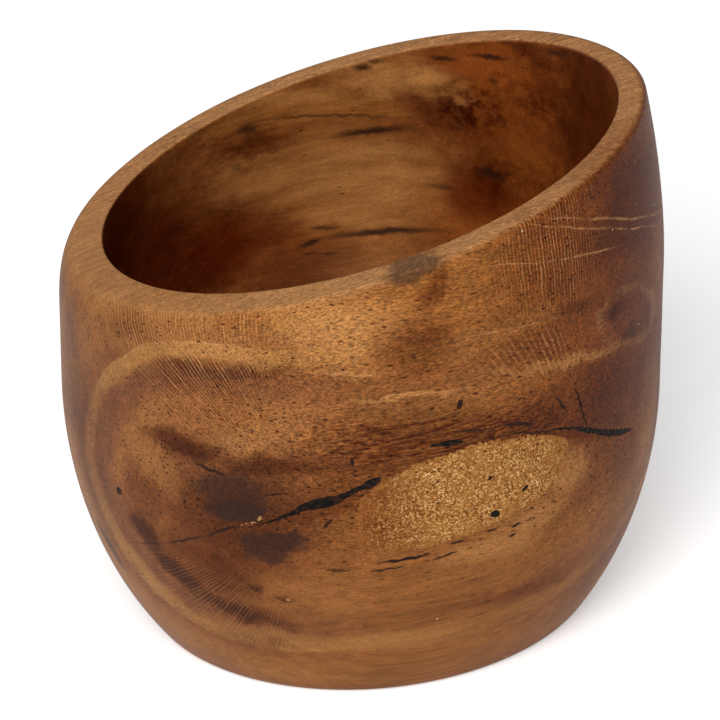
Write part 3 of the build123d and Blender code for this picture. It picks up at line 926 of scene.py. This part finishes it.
def oiled_hardwood():
    """Oiled tropical hardwood, turned and sanded: warm rings, pale rays, dark pores and a soft shine, with
    painted light and shade in the hollow and towards the right, and painted glints on its fibres.
    """
    material, add = new_material("Oiled hardwood, turned and sanded")
    wood = wood_places(add)
    # Places moved by noise, so that marks have a soft, a firm, a calm or a jagged edge
    soft = frayed(add, frayed(add, wood.axis, (0.35,) * 3, (2.2,) * 3), (1.6,) * 3, (1.0,) * 3)
    firm = frayed(add, wood.axis, (1.1,) * 3, (0.6,) * 3)
    calm = frayed(add, wood.axis, (0.25,) * 3, (0.7,) * 3)
    jagged = frayed(add, frayed(add, wood.axis, (0.5,) * 3, (2.0,) * 3), (2.4,) * 3, (0.9,) * 3)
    colour = ring_colour(add, wood)
    ray, clear = ray_lines(add, wood)
    pores = pore_dots(add, wood)
    dark_fibre = streaks(add, wood.grain, (0.22, 4.0, 4.0), 0.9, 0.0, 0.1)
    granular = streaks(add, wood.axis, (2.2,) * 3, 0.72, 1.0, 0.12)
    stain = faded(add, oval_marks(add, jagged, HEART_STAINS, 0.28), granular)
    light, red, shade, mottle, dash = hollow_masks(add, wood, soft, firm)
    outline, inside = branch_swirl(add, soft)
    broken = streaks(add, wood.axis, (0.6,) * 3, 0.0, 1.0, 0.14)
    # Sparse pale specks of about 0.1 mm radius, one in each cell of about 4 mm
    pale_specks = add("TexVoronoi", {"Vector": wood.axis, "Scale": 0.24})
    layers = (
        (oval_marks(add, soft, LIGHTS, 0.6), "MIX", "#b77f48"),
        # The hollow's red glows and lights: partly the wood's own colour, partly painted light
        (red, "MIX", "#a5551f"),
        (light, "MIX", "#bd8046"),
        (oval_marks(add, soft, SHADES, 0.55), "MULTIPLY", "#b59880"),
        (oval_marks(add, soft, DEEP_SHADES, 0.5), "MULTIPLY", "#8f6b55"),
        # The hollow's shades: partly darker wood, partly painted shade on its sides
        (shade, "MULTIPLY", "#a07050"),
        (mottle, "MULTIPLY", "#8a5a48"),
        (inside, "MULTIPLY", "#c4a68c"),
        (outline, "MIX", "#ab7d4c"),
        (add("Math SUBTRACT", clear, ray), "MULTIPLY", "#c3a48c"),
        (faded(add, ray, 0.72), "MIX", "#c8955c"),
        (band_line(add, wood), "MIX", "#c4915a"),
        (faded(add, oval_marks(add, calm, PALE_LINES, 0.5), broken, wood.outside), "MIX", "#bf8b54"),
        (faded(add, dark_fibre, oval_marks(add, soft, STREAKED, 0.5)), "MULTIPLY", "#93634f"),
        (pores, "MULTIPLY", "#86665c"),
        (stain, "MIX", "#35201a"),
        (oval_marks(add, firm, DASHES, 0.35), "MIX", "#24140f"),
        (dash, "MIX", "#2a160f"),
        (oval_marks(add, jagged, CRUMBS, 0.4), "MIX", "#c2935a"),
        (add("MapRange", pale_specks, 0.015, 0.032, 0.7, 0.0), "MIX", "#ecd2ae"),
    )
    colour = layered(add, colour, layers)
    ends = fibre_ends(add, wood, stain)
    colour = add("VectorMath SCALE", colour, ends)
    rough = add("MapRange", wood.rim, 0.0, 1.0, 0.46, 0.62)
    relief = add("Math MULTIPLY_ADD", pores, -1.0, ends)
    relief = add("Math MULTIPLY_ADD", ray, 0.3, relief)
    bump = add("Bump", {"Strength": 0.35, "Distance": 0.06 * MM, "Height": relief})
    finish = {"Base Color": colour, "Roughness": rough, "Normal": bump}
    end_material(add, {**finish, "IOR": 1.47, "Specular IOR Level": 0.08})
    return material


def pressed_sawdust():
    """Sawdust pressed in with glue and sanded: tan grains, pale to dark, that fade into the wood's brown."""
    material, add = new_material("Pressed sawdust filler, sanded")
    place = millimetres(add)
    # Grains about 0.2 mm across
    grit = add("TexVoronoi", {"Vector": place, "Scale": 7.0})
    pick = add("SeparateColor", grit.outputs[1])
    grains = [(0.0, "#54290c"), (0.25, "#855022"), (0.55, "#a56d38"), (0.85, "#cb9857"), (1.0, "#ecc58b")]
    colour = add("ValToRGB", pick, stops=grains)
    cloud = streaks(add, place, (0.45,) * 3, 0.0, 0.45, 0.16)
    left = add("MapRange", add("SeparateXYZ", place), 9.0, 2.0, 0.0, 0.9)
    edge = add("Attribute", attribute_name="edge_share").outputs["Fac"]
    edge = add("Math ADD", edge, streaks(add, place, (0.6,) * 3, -0.2, 0.2))
    specks = add("TexVoronoi", {"Vector": place, "Scale": 0.75})
    layers = (
        (cloud, "MIX", bpy.context.scene.cup_colours.filler),
        (left, "MULTIPLY", "#b08a70"),
        (add("MapRange", edge, 0.7, 1.05, 0.0, 0.9), "MIX", "#955e2d"),
        (add("MapRange", specks, 0.06, 0.13, 0.9, 0.0), "MIX", "#3a1f12"),
    )
    colour = layered(add, colour, layers)
    relief = add("Bump", {"Strength": 0.4, "Distance": 0.05 * MM, "Height": pick})
    finish = {"Roughness": 0.6, "IOR": 1.45, "Specular IOR Level": 0.06}
    end_material(add, {"Base Color": colour, "Normal": relief, **finish})
    return material


def speckled(name, code, speck, pace, finish):
    """A dark material with paler specks, whose pace is in cells per mm."""
    material, add = new_material(name)
    mottle = streaks(add, millimetres(add), (pace,) * 3, -0.5, 0.8, 0.16)
    mottle = add("Math MAXIMUM", mottle, 0.0)
    colour = add("Mix", mottle, code, linear(speck), data_type="RGBA")
    relief = add("Bump", {"Strength": 0.6, "Distance": 0.15 * MM, "Height": mottle})
    end_material(add, {"Base Color": colour, "Normal": relief, **finish})
    return material


def dark_resin():
    """Dark resin pressed into a crack: nearly black, broken by rusty brown, with a soft shine."""
    finish = {"Roughness": 0.55, "IOR": 1.5, "Specular IOR Level": 0.06}
    return speckled("Dark resin crack filler", bpy.context.scene.cup_colours.seam, "#3a241a", 1.8, finish)


def ground_bark():
    """Flecks of dark bark in the filler: black-brown and dull."""
    finish = {"Roughness": 0.6, "IOR": 1.45, "Specular IOR Level": 0.06}
    return speckled("Ground bark flecks", linear("#161211"), "#33241b", 3.0, finish)


def pin_knot_wood():
    """Pin knots, the dark end grain of tiny twigs: black-brown, sanded level."""
    finish = {"Roughness": 0.5, "IOR": 1.47, "Specular IOR Level": 0.06}
    return speckled("Pin knot end grain", linear("#22140e"), "#4a2f1d", 2.5, finish)


def shared_trees():
    """The wall and placing groups, made once."""
    groups = bpy.data.node_groups
    wall = groups.get("Wall radius") or wall_tree()
    place = groups.get("Point about the axis") or place_tree()
    inlay = groups.get("Wall inlay") or inlay_tree(wall, place)
    return wall, place, inlay


OVAL_UPPER = ((-1.0, 0.0), (-0.8, 0.6), (-0.4, 0.92), (0.0, 1.0), (0.4, 0.92), (0.8, 0.6), (1.0, 0.0))
OVAL_LOWER = tuple((x, -y) for x, y in OVAL_UPPER)


def lens(place, upper=OVAL_UPPER, lower=OVAL_LOWER, columns=40, rows=16, **finish):
    """One fill: angle in degrees, height, half length and half width in mm, slope in degrees, edge lines."""
    angle, height, length, width, slope = place
    values = {
        "Columns": columns,
        "Rows": rows,
        "Angle": math.radians(angle),
        "Height": height * MM,
        "Half length": length * MM,
        "Half width": width * MM,
        "Slope": math.radians(slope),
    }
    defaults = {"Proud": 0.06, "Depth": 0.8, "Ragged": 0.25, "Grain": 0.0}
    values.update({label: finish.get(label.lower(), number) * MM for label, number in defaults.items()})
    values["Grit"] = PER_METRE / 0.35
    return {"values": values, "Upper": upper, "Lower": lower}


def put_fill(node, material, fills, seed):
    """Grow one filled piece in place of its CAD node."""
    inlay = shared_trees()[2]
    piece = grown(node + "_fill", fill_tree(node, inlay, material, fills), {"Seed": seed})
    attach(piece, "root")
    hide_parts(node)


class EGGCUP_OT_turned_cup(bpy.types.Operator):
    """Turn and hollow the cup"""

    bl_idname = "eggcup.turned_cup"
    bl_label = "Turned cup"

    def execute(self, context):
        wall, place, _ = shared_trees()
        tree = cup_tree(wall, place, oiled_hardwood())
        cup = grown("turned_cup_wood", tree, {"Points around": context.scene.cup_sizes.around})
        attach(cup, "root")
        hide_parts("turned_cup")
        return {"FINISHED"}


class EGGCUP_OT_sawdust_patch(bpy.types.Operator):
    """Fill the large void with pressed sawdust"""

    bl_idname = "eggcup.sawdust_patch"
    bl_label = "Sawdust patch"

    def execute(self, context):
        upper = ((-1.0, -0.34), (-0.96, 0.0), (-0.81, 0.27), (-0.57, 0.64), (-0.4, 0.8), (-0.19, 0.89))
        upper += ((0.07, 1.0), (0.34, 0.95), (0.64, 0.84), (0.86, 0.63), (1.0, 0.37))
        lower = ((-1.0, -0.36), (-0.97, -0.7), (-0.88, -0.88), (-0.69, -1.0), (-0.44, -0.98), (-0.18, -0.91))
        lower += ((0.09, -0.79), (0.31, -0.67), (0.5, -0.54), (0.7, -0.36), (0.87, -0.12), (1.0, 0.35))
        finish = {"proud": 0.04, "depth": 2.0, "ragged": 0.5, "grain": 0.04}
        patch = lens((20.3, 24.9, 11.9, 5.75, 0.0), upper, lower, columns=190, rows=100, **finish)
        put_fill("sawdust_fill", pressed_sawdust(), [patch], 0.3)
        return {"FINISHED"}


class EGGCUP_OT_dark_seams(bpy.types.Operator):
    """Fill the cracks beside the patch with dark resin"""

    bl_idname = "eggcup.dark_seams"
    bl_label = "Dark seams"

    def execute(self, context):
        resin = dark_resin()
        upper = ((-1.0, -0.99), (-0.58, -0.56), (-0.32, -0.24), (-0.11, 0.12), (0.1, 0.29), (0.31, 0.41))
        upper += ((0.48, 0.53), (0.65, 0.71), (0.81, 0.94), (1.0, 1.0))
        lower = ((-1.0, -1.0), (-0.58, -0.62), (-0.32, -0.38), (-0.11, -0.18), (0.1, -0.06), (0.31, 0.09))
        lower += ((0.48, 0.32), (0.65, 0.53), (0.81, 0.62), (1.0, 0.97))
        left = lens((-8.75, 24.4, 6.94, 3.4, 0.0), upper, lower, 140, 14, ragged=0.45)
        put_fill("left_seam", resin, [left], 1.1)
        upper = ((-1.0, 0.99), (-0.62, 0.85), (-0.29, 0.53), (-0.03, 0.2), (0.24, -0.1), (0.5, -0.41))
        upper += ((0.8, -0.72), (1.0, -0.94))
        lower = ((-1.0, 0.97), (-0.62, 0.75), (-0.29, 0.34), (-0.03, -0.06), (0.24, -0.4), (0.5, -0.68))
        lower += ((0.8, -0.88), (1.0, -0.96))
        strand = lens((49.8, 27.0, 7.6, 2.75, 0.0), upper, lower, 150, 14, ragged=0.7)
        branch = lens((44.8, 30.7, 2.7, 0.14, 110.0), columns=60, rows=8, ragged=0.5)
        put_fill("right_seam", resin, [strand, branch], 2.7)
        edge = ((-1.0, -0.5), (-0.38, 0.7), (0.26, 1.0), (1.0, 0.1))
        other = ((-1.0, -0.6), (-0.38, -0.7), (0.26, -1.0), (1.0, 0.0))
        high = lens((15.65, 30.75, 1.75, 0.36, 0.0), edge, other, columns=50, rows=12, ragged=0.35)
        put_fill("upper_seam", resin, [high], 3.9)
        return {"FINISHED"}


class EGGCUP_OT_bark_flecks(bpy.types.Operator):
    """Set the bark flecks into the patch"""

    bl_idname = "eggcup.bark_flecks"
    bl_label = "Bark flecks"

    def execute(self, context):
        places = (
            (25.3, 22.3, 0.48, 0.42, 0.0),
            (31.5, 24.3, 0.42, 0.18, 35.0),
            (24.1, 26.3, 0.24, 0.16, 60.0),
        )
        flecks = [lens(place, columns=24, rows=14, proud=0.14, ragged=0.25) for place in places]
        put_fill("bark_flecks", ground_bark(), flecks, 4.4)
        return {"FINISHED"}


class EGGCUP_OT_pin_knots(bpy.types.Operator):
    """Set the pin knots into the wall"""

    bl_idname = "eggcup.pin_knots"
    bl_label = "Pin knots"

    def execute(self, context):
        places = (
            (-52.2, 20.1, 0.5, 0.45, 0.0),
            (18.1, 34.7, 0.3, 0.6, -10.0),
            (-1.6, 29.4, 0.22, 0.5, 10.0),
        )
        knots = [lens(place, columns=24, rows=16, proud=0.03, ragged=0.2) for place in places]
        put_fill("pin_knots", pin_knot_wood(), knots, 5.2)
        return {"FINISHED"}


# The photograph's camera: its place in mm, two directions, and its focal length and sensor in mm
CAMERA_PLACE = (18.13, -448.37, 245.92)
CAMERA_AHEAD = (-0.03271, 0.89674, -0.44134)
CAMERA_UP = (0.06628, 0.44255, 0.89429)
CAMERA_LENS = 249.74
CAMERA_SENSOR = 36.0

# The front softbox: its place, where it points and its width in metres, and its power in watts
SOFTBOX_PLACE = (-0.15, -0.74, 0.68)
SOFTBOX_AIM = (0.0, 0.0, 0.03)
SOFTBOX_WIDTH = 0.5
SOFTBOX_POWER = 7.5

# Half width of the paper floor in metres, how much it is lifted to white, and the strength of the room's glow
FLOOR_REACH = 3.0
PAPER_LIFT = 0.42
ROOM_GLOW = 0.3
WHITE = (1.0, 1.0, 1.0, 1.0)


def white_paper():
    """Matt white paper. The camera sees it lit to white, with the object's shadow on it."""
    material, add = new_material("White paper, matt")
    path = add("LightPath").outputs
    seen = add("Math ADD", path["Is Camera Ray"], path["Is Glossy Ray"])
    seen = add("Math ADD", seen, path["Is Transmission Ray"])
    lift = add("Math MULTIPLY", seen, PAPER_LIFT)
    finish = {"Base Color": bpy.context.scene.cup_colours.floor, "Roughness": 0.95, "Specular IOR Level": 0.0}
    end_material(add, {**finish, "Emission Color": WHITE, "Emission Strength": lift})
    return material


class EGGCUP_OT_stage(bpy.types.Operator):
    """Set the floor, the lights and the camera"""

    bl_idname = "eggcup.stage"
    bl_label = "Stage"

    def execute(self, context):
        scene = context.scene
        mesh = bpy.data.meshes.new("paper_floor")
        signs = ((-1.0, -1.0), (1.0, -1.0), (1.0, 1.0), (-1.0, 1.0))
        mesh.from_pydata([(x * FLOOR_REACH, y * FLOOR_REACH, 0.0) for x, y in signs], [], [(0, 1, 2, 3)])
        mesh.materials.append(white_paper())
        floor = bpy.data.objects.new("paper_floor", mesh)
        scene.collection.objects.link(floor)

        scene.world = bpy.data.worlds.new("Studio")
        scene.world.use_nodes = True
        scene.world.node_tree.nodes.clear()
        add = adder(scene.world.node_tree)
        glow = add("Background", {"Color": WHITE, "Strength": ROOM_GLOW})
        add("OutputWorld", glow)
        lamp = bpy.data.lights.new("front softbox", "AREA")
        lamp.shape = "DISK"
        lamp.size = SOFTBOX_WIDTH
        lamp.energy = SOFTBOX_POWER
        light = bpy.data.objects.new("front softbox", lamp)
        light.location = SOFTBOX_PLACE
        aim = Vector(SOFTBOX_AIM) - Vector(SOFTBOX_PLACE)
        light.rotation_euler = aim.to_track_quat("-Z", "Y").to_euler()
        scene.collection.objects.link(light)

        lens_data = bpy.data.cameras.new("camera")
        lens_data.sensor_width = CAMERA_SENSOR
        lens_data.lens = CAMERA_LENS
        lens_data.clip_start = 0.01
        camera = bpy.data.objects.new("camera", lens_data)
        ahead = Vector(CAMERA_AHEAD).normalized()
        right = ahead.cross(Vector(CAMERA_UP)).normalized()
        turn = Matrix((right, right.cross(ahead), -ahead)).transposed().to_4x4()
        camera.matrix_world = Matrix.Translation(Vector(CAMERA_PLACE) * MM) @ turn
        scene.collection.objects.link(camera)
        scene.camera = camera
        scene.view_settings.view_transform = "Standard"
        return {"FINISHED"}


STEPS = (
    EGGCUP_OT_turned_cup,
    EGGCUP_OT_sawdust_patch,
    EGGCUP_OT_dark_seams,
    EGGCUP_OT_bark_flecks,
    EGGCUP_OT_pin_knots,
    EGGCUP_OT_stage,
)


class EGGCUP_PT_sidebar(bpy.types.Panel):
    """The egg cup's steps, in order"""

    bl_idname = "EGGCUP_PT_sidebar"
    bl_label = "Egg cup"
    bl_space_type = "VIEW_3D"
    bl_region_type = "UI"
    bl_category = "Egg cup"

    def draw(self, context):
        for step in STEPS:
            self.layout.operator(step.bl_idname)


CLASSES = (CupSizes, CupColours, *STEPS, EGGCUP_PT_sidebar)


def register():
    for kind in CLASSES:
        bpy.utils.register_class(kind)
    bpy.types.Scene.cup_sizes = PointerProperty(type=CupSizes)
    bpy.types.Scene.cup_colours = PointerProperty(type=CupColours)


def unregister():
    del bpy.types.Scene.cup_colours
    del bpy.types.Scene.cup_sizes
    for kind in reversed(CLASSES):
        bpy.utils.unregister_class(kind)


def main():
    register()
    bpy.ops.eggcup.turned_cup()
    bpy.ops.eggcup.sawdust_patch()
    bpy.ops.eggcup.dark_seams()
    bpy.ops.eggcup.bark_flecks()
    bpy.ops.eggcup.pin_knots()
    bpy.ops.eggcup.stage()


if __name__ == "__main__":
    main()
